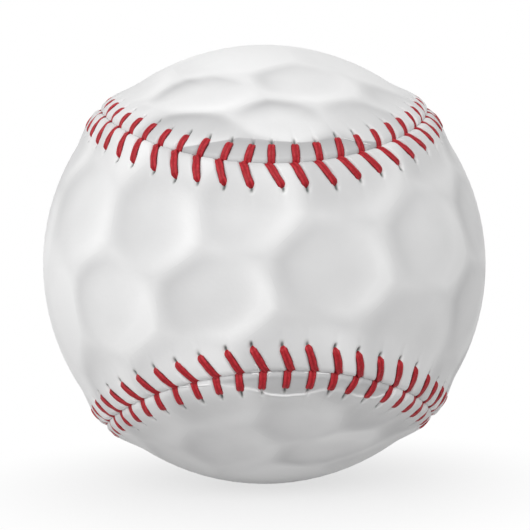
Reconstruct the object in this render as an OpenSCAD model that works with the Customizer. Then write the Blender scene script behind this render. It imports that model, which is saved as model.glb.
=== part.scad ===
/* [Pill] */
// Diameter of the cork and rubber core
core_d = 20.6; // [19:0.1:22]
// Wall of the two black rubber cups round the core
black_wall = 3.9; // [3:0.1:5]
// Thickness of the red gasket ring between the black cups
gasket_t = 1.2; // [0.6:0.1:2]
// Wall of the two red rubber cups round the black ones
red_wall = 3.2; // [2:0.1:4.5]

/* [Yarn windings] */
// Depth of the inner winding of thick grey wool
inner_wool_t = 13.5; // [12:0.1:15]
// Depth of the winding of white wool over it
white_wool_t = 1.75; // [1:0.05:2.5]
// Depth of the outer winding of grey wool
outer_wool_t = 1.8; // [1:0.05:2.5]
// Depth of the finishing winding of fine white yarn
finish_yarn_t = 0.5; // [0.3:0.05:1]
// Thickness of the adhesive that the wound ball is dipped in
adhesive_t = 0.15; // [0.1:0.05:0.4]

/* [Leather cover] */
// Thickness of the leather
leather_t = 1.3; // [1:0.05:1.6]
// Width of a panel at its narrow middle, measured over the ball
neck_w = 30; // [26:0.5:33]
// Gap between the edges of the two panels
seam_gap = 0.16; // [0.1:0.02:0.3]
// Height that the leather rises over the ball along the seam
lip_rise = 0.55; // [0.3:0.05:0.8]
// How far the raised leather falls again towards the seam line
crease_drop = 0.6; // [0.45:0.05:0.75]
// Distance from the seam line to where the raised leather ends
lip_w = 6; // [5.4:0.1:7]

/* [Stitching] */
// Double stitches round the whole seam
stitches = 108; // [98:1:116]
// Width of the flattened thread
thread_w = 1.15; // [0.8:0.05:1.3]
// Thickness of the flattened thread
thread_t = 0.75; // [0.5:0.05:0.75]
// Distance of the front panel's needle holes from the seam line
front_hole_set = 3.7; // [3.4:0.1:4]
// How far a front needle hole trails its stitch's point, along the seam
front_hole_trail = 2.1; // [1.6:0.1:2.4]
// Distance of the back panel's needle holes from the seam line
back_hole_set = 3; // [2.8:0.1:3.6]
// How far a back needle hole trails its stitch's point, along the seam
back_hole_trail = 1.25; // [1:0.05:1.6]
// How far a back leg's inner end trails its stitch's point, along the seam
back_end_trail = 0.85; // [0.6:0.05:1]
// Length of a needle hole outwards from its leg's seat
hole_l = 1.2; // [1.1:0.05:1.3]

/* [Hidden] */
// Glued layers lie this far apart
layer_gap = 0.05;
// Thread clears the leather that it lies on by this much
thread_gap = 0.06;
// Thread clears the sides of its needle hole by this much
hole_side_gap = 0.16;
// A needle hole starts this far short of its leg's seat
hole_lead = 0.25;
// A leg runs this far past its seat, down into its needle hole
dip_l = 0.9;
// The front legs stop this far short of the seam line
front_stop = 0.35;
// The back legs stop this far short of it, under the front ones
back_stop = 0.55;
// Longest side of a facet on the inside of the leather
facet_span = 8;
// Columns of a panel's grid away from the seam, 8 times a number plus 4
field_columns = 108;
// Smoothness of the round layers
ball_facets = 96;
// Smoothness of the thread's round sides, and of its bend
thread_facets = 14;
bend_facets = 40;

// Radii of the layers, worked out from the core outwards
core_r = core_d / 2;
black_in_r = core_r + layer_gap;
black_r = black_in_r + black_wall;
red_in_r = black_r + layer_gap;
red_r = red_in_r + red_wall;
inner_wool_in_r = red_r + layer_gap;
inner_wool_r = inner_wool_in_r + inner_wool_t;
white_wool_in_r = inner_wool_r + layer_gap;
white_wool_r = white_wool_in_r + white_wool_t;
outer_wool_in_r = white_wool_r + layer_gap;
outer_wool_r = outer_wool_in_r + outer_wool_t;
finish_in_r = outer_wool_r + layer_gap;
finish_r = finish_in_r + finish_yarn_t;
adhesive_in_r = finish_r + layer_gap;
adhesive_r = adhesive_in_r + adhesive_t;

// Flat facets sag below the curve that their corners lie on
facet_sag = facet_span * facet_span / (8 * adhesive_r);
leather_in_r = adhesive_r + layer_gap + facet_sag;
ball_r = leather_in_r + leather_t;

// Angle at the ball's centre of a length measured over its surface
function over_ball(length) = length / ball_r * 180 / PI;
function unit(v) = v / norm(v);
function mix(a, b, share) = a + (b - a) * share;

// The seam is the curve [a cos t + b cos 3t, a sin t - b sin 3t, c sin 2t],
// which lies on the unit ball when a + b = 1 and c is twice the root of a b
neck_share = sin(over_ball(neck_w / 2));
wave_a = (1 + neck_share) / 2;
wave_b = (1 - neck_share) / 2;
wave_c = 2 * sqrt(wave_a * wave_b);
function seam_dir(t) = [
    wave_a * cos(t) + wave_b * cos(3 * t),
    wave_a * sin(t) - wave_b * sin(3 * t),
    wave_c * sin(2 * t)
];
function seam_heading(t) = unit([
    -wave_a * sin(t) - 3 * wave_b * sin(3 * t),
    wave_a * cos(t) - 3 * wave_b * cos(3 * t),
    2 * wave_c * cos(2 * t)
]);

// Distance run along the seam at each degree, and the way back from it
function degree_run(t) = norm(seam_dir(t + 1) - seam_dir(t));
run_table = [for (t = 0, run = 0; t <= 360; run = run + degree_run(t), t = t + 1) [run, t]];
seam_run = run_table[360][0];
stitch_pitch = seam_run * ball_r / stitches;
// Places along the seam are counted in stitches
function seam_angle(place) = lookup((place + stitches) % stitches / stitches * seam_run, run_table);

// The two panels differ in where their needle holes lie. side is 1 at the front, -1 at the back
function hole_set(side) = side > 0 ? front_hole_set : back_hole_set;
function hole_trail(side) = side > 0 ? front_hole_trail : back_hole_trail;
function end_trail(side) = side > 0 ? 0 : back_end_trail;
function leg_stop(side) = side > 0 ? front_stop : back_stop;
function leg_half(side) = norm([hole_set(side), hole_trail(side) - end_trail(side)]) / 2;
// How far the grid trails at a distance in from the seam line, so that it runs along the legs
function trail(side, inset) = mix(end_trail(side), hole_trail(side), inset / hole_set(side)) / stitch_pitch;

// Round bead of leather that a leg lies on, a curve with this radius and a centre on the leg's middle
function bead_r(side) = (pow(leg_half(side), 2) + pow(crease_drop, 2)) / (2 * crease_drop);
function bead_centre(side) = ball_r + lip_rise - bead_r(side);
function bead_height(side, along) = let (q = over_ball(along), c = bead_centre(side))
    c * cos(q) + sqrt(pow(bead_r(side), 2) - pow(c * sin(q), 2)) - ball_r;
// Height of the leather over the ball at a distance in from the seam line
function hole_edge(side) = bead_height(side, leg_half(side));
function lip_height(side, inset) = inset <= hole_set(side)
    ? bead_height(side, (2 * inset / hole_set(side) - 1) * leg_half(side))
    : mix(hole_edge(side), 0, min(1, (inset - hole_set(side)) / (lip_w - hole_set(side))));

// Direction of the point at a place along the seam and a distance in from it
function panel_dir(side, place, inset) = let (t = seam_angle(place), q = over_ball(inset))
    cos(q) * seam_dir(t) + sin(q) * side * cross(seam_dir(t), seam_heading(t));

// Middle line of a panel. Its far ends stop inside the round lobes
spine_turn = 106;
function front_spine(t) = let (q = spine_turn * sin(t - 45)) [-sin(q) / sqrt(2), sin(q) / sqrt(2), cos(q)];
function quarter_back(v) = [-v[1], v[0], -v[2]];
function spine_dir(side, t) = side > 0 ? front_spine(t) : quarter_back(front_spine(t - 90));
function field_dir(side, place, share) =
    unit(mix(panel_dir(side, place, lip_w), spine_dir(side, seam_angle(place)), share));

// Rows of the panel's grid. Seam rows have two points to a stitch, and field rows have fewer
function hole_from(side) = hole_set(side) - hole_lead;
function hole_to(side) = hole_set(side) + hole_l;
bead_shares = [0.2, 0.5, 0.78];
function outer_insets(side) = [
    seam_gap / 2, for (share = bead_shares) share * hole_set(side), hole_from(side), hole_to(side), lip_w
];
function inner_insets(side) = [seam_gap / 2, hole_from(side), hole_to(side), lip_w];
outer_field_shares = [0.22, 0.45, 0.66, 0.85];
inner_field_shares = [0.24, 0.46, 0.67, 0.86];
// The needle holes start at this row, counted back from the end of the seam rows
hole_row_back = 3;

// Half the width of a leg's strip of the grid, in stitches along the seam
function strip_half(side) =
    (thread_w / 2 + hole_side_gap) * 2 * leg_half(side) / hole_set(side) / stitch_pitch;
function seam_places(side, inset) = [
    for (i = [0:stitches - 1]) for (edge = [-1, 1])
        i - trail(side, min(inset, hole_to(side))) + edge * strip_half(side)
];
function outer_r(side, inset) = ball_r + lip_height(side, inset);
function inner_r(side, inset) = leather_in_r + max(0, lip_height(side, inset));
function outer_seam_rows(side) = [
    for (inset = outer_insets(side)) [
        for (place = seam_places(side, inset)) outer_r(side, inset) * panel_dir(side, place, inset)
    ]
];
function inner_seam_rows(side) = [
    for (inset = inner_insets(side)) [
        for (place = seam_places(side, inset)) inner_r(side, inset) * panel_dir(side, place, inset)
    ]
];
function field_rows(side, radius, shares) = [
    for (share = shares) [
        for (i = [0:field_columns - 1]) radius * field_dir(side, i / field_columns * stitches, share)
    ]
];

// Two triangles between points a, b of one row and c, d of the next, and a band of them round a row.
// A strip under a leg starts at each even point, and is left open where the needle hole is
function two_faces(a, b, c, d) = [[a, b, d], [a, d, c]];
function band(first, second, count, open) = [
    for (i = [0:count - 1]) if (!open || i % 2 == 1)
        let (j = (i + 1) % count) each two_faces(first + i, first + j, second + i, second + j)
];
// All the bands between the seam rows. The needle holes lie in the last band but one
function seam_faces(start, row_n) = let (n = 2 * stitches) [
    for (k = [0:row_n - 2]) each band(start + k * n, start + (k + 1) * n, n, k == row_n - hole_row_back)
];
// Joins a seam row to a field row that has fewer points, each to the column nearest to it
function field_column(i) = floor((i - 0.5 + 2 * stitches) / (2 * stitches) * field_columns);
function step_band(seam_row, field_row) = [
    for (i = [0:2 * stitches - 1])
        let (a = seam_row + i, b = seam_row + (i + 1) % (2 * stitches))
        let (from = field_column(i), to = field_column(i + 1), c = field_row + from % field_columns)
        each concat([[a, b, c]], from == to ? [] : [[b, field_row + to % field_columns, c]])
];
// The last field row closes on itself across the middle line, where each column meets its mirror
function mirror_sum(side) = field_columns * (side > 0 ? 3 / 4 : 5 / 4);
function closing_faces(side, row) = let (first = (mirror_sum(side) + 1) / 2) [
    for (i = [first:first + field_columns / 2 - 2])
        let (j = mirror_sum(side) + field_columns - i)
        let (a = row + i % field_columns, b = row + (i + 1) % field_columns)
        let (c = row + j % field_columns, d = row + (j - 1) % field_columns)
        each two_faces(a, b, c, d)
];
function field_faces(side, start, shares) = concat(
    [for (k = [0:len(shares) - 2])
        each band(start + k * field_columns, start + (k + 1) * field_columns, field_columns, false)],
    closing_faces(side, start + (len(shares) - 1) * field_columns)
);
function flip_faces(faces) = [for (f = faces) [f[2], f[1], f[0]]];
function flat_list(rows) = [for (row = rows) each row];

module cover_panel(side) {
    seam_n = 2 * stitches;
    outer_n = len(outer_insets(side));
    inner_n = len(inner_insets(side));
    inner_start = outer_n * seam_n;
    outer_field = inner_start + inner_n * seam_n;
    inner_field = outer_field + len(outer_field_shares) * field_columns;
    outer_hole_row = outer_n - hole_row_back;
    inner_hole_row = inner_n - hole_row_back;
    points = concat(
        flat_list(outer_seam_rows(side)),
        flat_list(inner_seam_rows(side)),
        flat_list(field_rows(side, ball_r, outer_field_shares)),
        flat_list(field_rows(side, leather_in_r, inner_field_shares))
    );
    outer_faces = concat(
        seam_faces(0, outer_n),
        step_band((outer_n - 1) * seam_n, outer_field),
        field_faces(side, outer_field, outer_field_shares)
    );
    inner_faces = concat(
        seam_faces(inner_start, inner_n),
        step_band(inner_start + (inner_n - 1) * seam_n, inner_field),
        field_faces(side, inner_field, inner_field_shares)
    );
    edge_faces = band(inner_start, 0, seam_n, false);
    hole_faces = [
        for (i = [0:2:seam_n - 2])
            let (a = outer_hole_row * seam_n + i, b = a + seam_n)
            let (c = inner_start + inner_hole_row * seam_n + i, d = c + seam_n)
            each concat(
                two_faces(a, a + 1, c, c + 1),
                two_faces(b + 1, b, d + 1, d),
                two_faces(b, a, d, c),
                two_faces(a + 1, b + 1, c + 1, d + 1)
            )
    ];
    faces = concat(outer_faces, flip_faces(inner_faces), edge_faces, hole_faces);
    polyhedron(points, side > 0 ? flip_faces(faces) : faces);
}

// Flattened section of the thread, drawn at a distance out from the bend's centre
module thread_section(bend_r) {
    side_r = thread_t / 2;
    translate([bend_r, 0]) {
        square([thread_t, thread_w - thread_t], center = true);
        for (end = [-1, 1])
            translate([0, end * (thread_w / 2 - side_r)])
                circle(r = side_r, $fn = thread_facets);
    }
}

// One leg of a stitch: it climbs out of its needle hole, bends over the bead and ends at the seam
module stitch_leg(side, place) {
    set = hole_set(side);
    hole = panel_dir(side, place - trail(side, set), set);
    end = panel_dir(side, place - trail(side, 0), 0);
    up = unit(hole + end);
    across = unit(cross(up, end - hole));
    along = cross(across, up);
    bend_r = bead_r(side) + thread_gap + thread_t / 2;
    reach = asin(leg_half(side) / bend_r);
    dip = dip_l / bend_r * 180 / PI;
    stop = leg_stop(side) / bend_r * 180 / PI;
    centre = bead_centre(side) * up;
    multmatrix([
        [along[0], up[0], across[0], centre[0]],
        [along[1], up[1], across[1], centre[1]],
        [along[2], up[2], across[2], centre[2]]
    ])
        rotate([0, 0, 90 - reach + stop])
            rotate_extrude(angle = 2 * reach + dip - stop, $fn = bend_facets)
                thread_section(bend_r);
}

// Each needle's thread lies on the two panels in turn
module needle_thread(first) {
    for (i = [0:stitches - 1]) stitch_leg((i + first) % 2 == 0 ? 1 : -1, i);
}

module hollow_ball(outside_r, inside_r) {
    difference() {
        sphere(r = outside_r, $fn = ball_facets);
        sphere(r = inside_r, $fn = ball_facets);
    }
}

// Half of a hollow ball, above a flat rim at the height given
module cup(outside_r, inside_r, rim_z) {
    difference() {
        hollow_ball(outside_r, inside_r);
        translate([-2 * outside_r, -2 * outside_r, rim_z - 4 * outside_r])
            cube(4 * outside_r);
    }
}

// Turns the seam so that the front panel's narrow middle faces -Y and its lobes face +X and -X
module facing_front() {
    rotate([90, 0, 0]) rotate([0, 0, 45]) children();
}

module cork_core() {
    color("#b0855a") sphere(r = core_r, $fn = ball_facets);
}

module black_cup_front() {
    color("#26262a") rotate([90, 0, 0]) cup(black_r, black_in_r, gasket_t / 2 + layer_gap);
}

module black_cup_back() {
    color("#26262a") rotate([-90, 0, 0]) cup(black_r, black_in_r, gasket_t / 2 + layer_gap);
}

module gasket_ring() {
    color("#b23a30")
        rotate([90, 0, 0])
            difference() {
                intersection() {
                    sphere(r = black_r, $fn = ball_facets);
                    cylinder(h = gasket_t, r = 2 * black_r, center = true, $fn = ball_facets);
                }
                cylinder(h = 2 * gasket_t, r = black_in_r, center = true, $fn = ball_facets);
            }
}

module red_cup_left() {
    color("#a8352f") rotate([0, -90, 0]) cup(red_r, red_in_r, layer_gap / 2);
}

module red_cup_right() {
    color("#a8352f") rotate([0, 90, 0]) cup(red_r, red_in_r, layer_gap / 2);
}

module inner_grey_wool() {
    color("#8d8b86") hollow_ball(inner_wool_r, inner_wool_in_r);
}

module middle_white_wool() {
    color("#e6e1d4") hollow_ball(white_wool_r, white_wool_in_r);
}

module outer_grey_wool() {
    color("#98968f") hollow_ball(outer_wool_r, outer_wool_in_r);
}

module finishing_yarn() {
    color("#efece2") hollow_ball(finish_r, finish_in_r);
}

module adhesive_coat() {
    color("#d9c48f") hollow_ball(adhesive_r, adhesive_in_r);
}

module cover_panel_front() {
    color("#f1f0ec") facing_front() cover_panel(1);
}

module cover_panel_back() {
    color("#f1f0ec") facing_front() cover_panel(-1);
}

module first_needle_thread() {
    color("#c0202c") facing_front() needle_thread(0);
}

module second_needle_thread() {
    color("#c0202c") facing_front() needle_thread(1);
}

cork_core();
black_cup_front();
black_cup_back();
gasket_ring();
red_cup_left();
red_cup_right();
inner_grey_wool();
middle_white_wool();
outer_grey_wool();
finishing_yarn();
adhesive_coat();
cover_panel_front();
cover_panel_back();
first_needle_thread();
second_needle_thread();
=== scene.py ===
import math
from functools import partial

import bpy
import numpy as np
from mathutils import Matrix, Vector


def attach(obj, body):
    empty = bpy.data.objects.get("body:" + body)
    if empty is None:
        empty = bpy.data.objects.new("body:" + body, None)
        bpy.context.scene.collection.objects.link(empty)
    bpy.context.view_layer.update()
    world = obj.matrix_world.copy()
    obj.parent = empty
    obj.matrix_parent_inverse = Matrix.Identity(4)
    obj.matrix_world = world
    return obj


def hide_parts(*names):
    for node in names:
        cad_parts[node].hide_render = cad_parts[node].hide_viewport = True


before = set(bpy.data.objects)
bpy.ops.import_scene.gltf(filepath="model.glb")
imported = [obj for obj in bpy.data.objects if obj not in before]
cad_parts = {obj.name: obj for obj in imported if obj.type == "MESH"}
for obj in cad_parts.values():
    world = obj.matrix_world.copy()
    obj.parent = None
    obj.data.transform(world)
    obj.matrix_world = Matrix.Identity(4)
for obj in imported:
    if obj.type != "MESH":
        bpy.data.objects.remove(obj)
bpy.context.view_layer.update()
print("frame: loaded", len(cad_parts), "CAD nodes")

mm = 0.001


def linear(hexColour):
    parts = [int(hexColour[i:i + 2], 16) / 255 for i in (1, 3, 5)]
    return tuple(c / 12.92 if c <= 0.04045 else ((c + 0.055) / 1.055) ** 2.4 for c in parts) + (1.0,)


def inScene(name, data):
    item = bpy.data.objects.new(name, data)
    bpy.context.scene.collection.objects.link(item)
    return item


def connect(node, inputs):
    # a list fills the node's first sockets, and a dictionary names them. Text is a colour
    for socket, value in inputs.items() if isinstance(inputs, dict) else enumerate(inputs):
        if isinstance(value, bpy.types.NodeSocket):
            node.id_data.links.new(value, node.inputs[socket])
        else:
            node.inputs[socket].default_value = linear(value) if isinstance(value, str) else value


def addNode(tree, kind, inputs=(), operation=None, out=0, **settings):
    # gives the output asked for, or the node itself where out is None
    node = tree.nodes.new("ShaderNode" + kind)
    if operation:
        node.operation = operation
    for name, value in settings.items():
        setattr(node, name, value)
    connect(node, inputs)
    return node if out is None else node.outputs[out]


colours = {"data_type": "RGBA", "out": 2}  # for a Mix node that mixes colours
smooth = {"interpolation_type": "SMOOTHSTEP"}


def newMaterial(name):
    material = bpy.data.materials.new(name)
    material.use_nodes = True
    material.node_tree.nodes.clear()
    add = partial(addNode, material.node_tree)
    shader = add("BsdfPrincipled", out=None)
    add("OutputMaterial", {"Surface": shader.outputs["BSDF"]}, out=None)
    return material, add, shader


def closeMaterial(material, add, shader, look, height, inputs):
    # raises the surface by the height and gives the shader what is left
    bump = add("Bump", {"Strength": look["bump"], "Distance": look["bumpDepth"] * mm, "Height": height})
    connect(shader, {"Roughness": look["roughness"], "IOR": look["ior"], "Normal": bump} | inputs)
    return material


def smoothStep(low, high, x):
    share = np.clip((x - low) / (high - low), 0, 1)
    return share * share * (3 - 2 * share)


def mix(a, b, share):
    return a + (b - a) * share


def unit(v):
    return v / np.linalg.norm(v, axis=-1, keepdims=True)


# Camera: it faces the front panel's narrow middle, from a little to the left and above
cameraView = {
    "lens": 85.88,  # mm, on a sensor 36 mm wide
    "sensor": 36.0,
    "distance": 214.75,  # mm from the ball's centre
    "azimuth": -3.70,  # degrees to the right of straight in front
    "elevation": 0.76,
    "roll": -0.97,
    "aside": 0.1155,  # mm right of and above the line to the centre
    "above": -0.117,
    "nearest": 0.01,  # m
}


def wayOut(view):
    # from the ball's centre towards an azimuth and an elevation
    turn, rise = math.radians(view["azimuth"]), math.radians(view["elevation"])
    return Vector((math.sin(turn) * math.cos(rise), -math.cos(turn) * math.cos(rise), math.sin(rise)))


def placeCamera(view):
    back = wayOut(view)
    roll = math.radians(view["roll"])
    level = Vector((0, 0, 1)).cross(back).normalized()
    upright = back.cross(level)
    right = level * math.cos(roll) + upright * math.sin(roll)
    up = back.cross(right)
    spot = back * view["distance"] + right * view["aside"] + up * view["above"]
    data = bpy.data.cameras.new("camera")
    data.lens = view["lens"]
    data.sensor_width = view["sensor"]
    data.clip_start = view["nearest"]
    camera = inScene("camera", data)
    camera.matrix_world = Matrix.Translation(spot * mm) @ Matrix((right, up, back)).transposed().to_4x4()
    bpy.context.scene.camera = camera


placeCamera(cameraView)

# Sizes of the ball in mm. The radii, the neck and the stitches are those of its CAD source
ball = {
    "radius": 37.026,
    "innerRadius": 35.726,  # flesh side of the leather
    "neck": 30.0,  # width of a panel at its narrow middle
    "stitches": 108,
    "bunching": 0.5,  # stitches that the sewing runs ahead or behind an even spacing
    "edge": 0.015,  # each panel's edge stops this far short of the seam line
    "flatten": 0.008,  # the lobes lie this share lower than a true ball
    "spineReach": 106,  # degrees from a panel's middle to either end of its middle line
    "spineEven": 0.55,  # how evenly that line's points are spread
    "lobeAt": 100,  # degrees from a panel's middle to the middle of each lobe
    "lobeFrom": (30, 80),  # and where its flat chart passes from neck to lobe
}
# Where each panel's needle holes lie: mm from the seam line, and mm that they trail the stitch's point
holes = {
    1: {"panel": "front", "set": 3.7, "trail": 2.1, "endTrail": 0.45},
    -1: {"panel": "back", "set": 3.0, "trail": 1.25, "endTrail": 0.85},
}
holePast = 0.1  # mm that a leg's line runs on past its hole before it turns straight
legShare = 0.25  # share of the way to the next leg over which a leg's own offsets hold

neckShare = math.sin(ball["neck"] / 2 / ball["radius"])
waveA, waveB = (1 + neckShare) / 2, (1 - neckShare) / 2
waveC = 2 * math.sqrt(waveA * waveB)


def seamDir(turn):
    # the way out to the seam's curve at an angle round it, in the curve's own axes
    return np.stack([waveA * np.cos(turn) + waveB * np.cos(3 * turn),
                     waveA * np.sin(turn) - waveB * np.sin(3 * turn),
                     waveC * np.sin(2 * turn)], -1)


def seamHeading(turn):
    return unit(np.stack([-waveA * np.sin(turn) - 3 * waveB * np.sin(3 * turn),
                          waveA * np.cos(turn) - 3 * waveB * np.cos(3 * turn),
                          2 * waveC * np.cos(2 * turn)], -1))


degrees = np.arange(361.0)
degreeRun = np.linalg.norm(np.diff(seamDir(np.radians(degrees)), axis=0), axis=1)
runTable = np.concatenate([[0], np.cumsum(degreeRun)])
seamRun = runTable[-1]
pitch = seamRun * ball["radius"] / ball["stitches"]


def seamAngle(place):
    # the sewing is a little tighter at the front and the back than round the lobes
    spread = ball["bunching"] * np.sin(4 * np.pi * (place / ball["stitches"] - 1 / 8))
    share = np.mod(place - spread, ball["stitches"]) / ball["stitches"]
    return np.radians(np.interp(share * seamRun, runTable, degrees))


def panelDir(side, place, inset):
    # the way out to a point on a panel, from its place along the seam and its mm from it
    onSeam, heading = seamDir(seamAngle(place)), seamHeading(seamAngle(place))
    lean = (inset / ball["radius"])[..., None]
    return np.cos(lean) * onSeam + np.sin(lean) * side * np.cross(onSeam, heading)


# Hand sewing: mm that needle holes and legs' tips stray, and the share that the pull on a stitch changes the
# leather beside it
sewing = {"along": 0.3, "away": 0.17, "tip": 0.12, "pull": 0.1}
rng = np.random.default_rng(108)
uneven = {}
for sideKey in holes:
    uneven[sideKey] = {name: size * rng.uniform(-1, 1, ball["stitches"]) for name, size in sewing.items()}


def offset(side, name, column):
    # a leg's own offset, running smoothly into its neighbours' between the legs
    low = np.floor(column).astype(int)
    share = smoothStep(legShare, 1 - legShare, column - low)
    own = uneven[side][name]
    return mix(own[low % len(own)], own[(low + 1) % len(own)], share)


def holeInset(side, column):
    return holes[side]["set"] + offset(side, "away", column)


def legPlace(side, column, inset):
    # place along the seam of a point on a leg's line, or on the lines between the legs
    hole = holes[side]
    share = np.minimum(inset, holeInset(side, column) + holePast) / hole["set"]
    trail = mix(hole["endTrail"], hole["trail"], share)
    trail += mix(offset(side, "tip", column), offset(side, "along", column), np.clip(share, 0, 1))
    return column - trail / pitch


def spineDir(side, place):
    # middle line of a panel, there and back again, spread evenly towards its ends
    turn = seamAngle(place) - math.radians(45 if side > 0 else 135)
    even = 2 / math.pi * np.arcsin(np.sin(turn))
    lean = math.radians(ball["spineReach"]) * mix(np.sin(turn), even, ball["spineEven"])
    x, y, z = -np.sin(lean) / math.sqrt(2), np.sin(lean) / math.sqrt(2), np.cos(lean)
    return np.stack([x, y, z] if side > 0 else [-y, x, -z], -1)


def toFrame(points):
    # turns the seam so that the front panel's narrow middle faces -Y
    x, y, z = np.moveaxis(points, -1, 0)
    return np.stack([(x - y) / math.sqrt(2), -z, (x + y) / math.sqrt(2)], -1)


def newMesh(name, points, faces):
    data = bpy.data.meshes.new(name)
    data.from_pydata((points * mm).tolist(), [], faces)
    data.validate()
    data.shade_smooth()
    return inScene(name, data)


def setVectors(piece, name, values):
    attribute = piece.data.attributes.new(name, "FLOAT_VECTOR", "POINT")
    attribute.data.foreach_set("vector", np.asarray(values, np.float32).ravel())


# Printed honeycomb of dimples, each drawn as a soft dish: the ink of its middle, how much darker one side is
# and how much lighter the other, degrees round to the dark side, and how crisp its rim is
dimples = {
    "even": (0.3, 0.45, 0.55, 145, 0.3),
    "deep": (0.37, 0.55, 0.9, 140, 0.45),
    "clear": (0.17, 0.65, 0.65, 140, 0.5),
    "soft": (0.42, 0.35, 0.6, 155, 0.15),
    "slight": (0.25, 0.45, 0.35, 145, 0.2),
    "faint": (0, 0.15, 0.3, 170, 0),
    "hooded": (0.2, 1.2, 0.4, 80, 0.4),
    "shady": (0.58, 0.5, 0.8, 75, 0.3),
    "clouded": (0.42, 0.35, 0.2, 72, 0.35),
    # painted shade: the next kind darkens the back panel's cells on the lip that slopes down to the top seam
    "foldShade": (0.8, 0.3, 0.1, 100, 0.9),
    "low": (0.33, 0.4, 0.3, 205, 0),
    "sharp": (0.2, 0.9, 0.9, 230, 0.4),
}
dimpleUneven = (0.08, 0.11, 0.11, 15, 0.1)  # how far an even dimple's values stray
dimpleChances = np.random.default_rng(7).uniform(-1, 1, (64, 5))
dimpleBlend = 0.26  # share of a cell over which one dimple passes into the next
dimpleGround = 0.002  # weight of an even dimple under all the listed ones
dimpleGive = 0.02  # how loosely a dimple is held to its place in the layout

# Where the print's cells lie on the front and the back panel, as [column, row, mm along, mm across], and the
# kinds of those that aren't even
printLayouts = {
    1: {
        "reach": 14.0,  # mm over which a cell pulls the even lattice
        "cells": [
            [0, 0, -9.5, -4], [1, 0, 7.5, -0.5], [2, 0, 25.5, 4], [3, 0, 42, 7.5], [-1, 0, -28, -5.5],
            [-2, 0, -44, -7.5], [0, 1, -4.5, 9], [-1, 1, -19, 6.5], [-2, 1, -35, 10], [2, -1, 22, -12],
            [3, -1, 39.5, -8.5],
        ],
        "kinds": {
            "deep": [(0, 0), (1, 0)],
            "clear": [(2, 0), (3, 0), (-1, 0), (3, -1)],
            "soft": [(0, 1), (-1, 1), (1, 1), (-3, 2), (-1, 2), (1, -1)],
            "slight": [(2, -1), (2, 1), (-2, 1), (-2, 2), (-1, -1), (0, -1), (3, -2)],
            "faint": [(-2, 0)],
        },
    },
    -1: {
        "reach": 16.0,
        "cells": [
            [0, 1, 102, -2], [1, 1, 101, 11], [-1, 1, 100, -16], [0, 2, 94, 1], [-1, 2, 92.5, -13.5],
            [1, 2, 90.5, 16], [-1, 3, 85.5, -11.5], [0, 3, 84, 6], [1, 3, 81, 23.5], [-1, 4, 74, -6],
            [0, 4, 73.5, 13], [-5, 19, -91.5, 3.5], [-6, 19, -95, -10.5], [-5, 18, -83.5, -8.5],
            [-4, 18, -83, 8], [-4, 19, -88.5, 18],
        ],
        "kinds": {
            "faint": [(-1, 4), (0, 4), (-4, 17)],
            "slight": [(-2, 4), (1, 3)],
            "clear": [(0, 3)],
            "hooded": [(-1, 3), (0, 2)],
            "shady": [(-1, 2)],
            "clouded": [(1, 2)],
            # painted shade on the lip at the top seam
            "foldShade": [(-1, 1), (0, 1), (1, 1)],
            "low": [(-6, 18), (-6, 19), (-6, 20), (-5, 17), (-5, 18), (-5, 19), (-5, 20), (-4, 19), (-3, 18)],
            "sharp": [(-4, 18)],
        },
    },
}


def panelChart(side, outward):
    # mm along and across a panel laid flat: straight over its neck, and round the middle of each lobe
    x, y, z = outward.T
    x, y, z = (-y, x, z) if side > 0 else (y, z, x)
    lobe = math.radians(ball["lobeAt"])
    along = np.arctan2(y, x)
    across = np.arcsin(np.clip(z, -1, 1))
    way = np.where(along < 0, -1, 1)
    fromLobe = np.arccos(np.clip(x * math.cos(lobe) + way * y * math.sin(lobe), -1, 1))
    bearing = np.arctan2(z, -x * math.sin(lobe) + way * y * math.cos(lobe))
    lobeAlong = way * (lobe + fromLobe * np.cos(bearing))
    lobeAcross = fromLobe * np.sin(bearing)
    share = smoothStep(*np.radians(ball["lobeFrom"]), np.abs(along))
    return ball["radius"] * mix(along, lobeAlong, share), ball["radius"] * mix(across, lobeAcross, share)


def latticeSpots(side, outward):
    # each point's place in the honeycomb, in cells: the even lattice nearest to the layout is pulled on to it
    layout = printLayouts[side]
    cells = np.array(layout["cells"], float)
    spots = np.column_stack([cells[:, 2:], np.ones(len(cells))])
    even = np.linalg.lstsq(spots, cells[:, :2], rcond=None)[0]
    pull = np.exp(-((cells[:, None, 2:] - cells[None, :, 2:]) ** 2).sum(2) / (2 * layout["reach"] ** 2))
    pulls = np.linalg.solve(pull + dimpleGive * np.eye(len(cells)), cells[:, :2] - spots @ even)
    along, across = panelChart(side, outward)
    label = along[:, None] * even[0] + across[:, None] * even[1] + even[2]
    for (cellAlong, cellAcross), shift in zip(cells[:, 2:], pulls):
        apart = (along - cellAlong) ** 2 + (across - cellAcross) ** 2
        label += np.exp(-apart / (2 * layout["reach"] ** 2))[:, None] * shift
    return np.column_stack([label[:, 0] + label[:, 1] / 2, label[:, 1] * math.sqrt(3) / 2])


def cellTones(side, spots):
    # each point's tones: those of the cells around it, each counting the more the nearer it is
    tall = math.sqrt(3)
    even = np.column_stack([np.round(spots[:, 0]), np.round(spots[:, 1] / tall) * tall])
    odd = np.column_stack([np.floor(spots[:, 0]) + 0.5, (np.floor(spots[:, 1] / tall) + 0.5) * tall])
    nearEven = ((spots - even) ** 2).sum(1) < ((spots - odd) ** 2).sum(1)
    cell = np.where(nearEven[:, None], even, odd)
    # an unlisted cell's chance comes from its place, so that all its points share it
    pick = np.round(cell[:, 0] * 10 + cell[:, 1] / tall * 22).astype(int) % len(dimpleChances)
    total = np.full(len(spots), dimpleGround)
    tones = (np.array(dimples["even"]) + dimpleChances[pick] * dimpleUneven) * total[:, None]
    for kind, members in printLayouts[side]["kinds"].items():
        for column, row in members:
            middle = np.array([column + row / 2, row * tall / 2])
            near = np.exp(-((spots - middle) ** 2).sum(1) / (2 * dimpleBlend ** 2))
            tones += near[:, None] * dimples[kind]
            total += near
    return tones / total[:, None]


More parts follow.
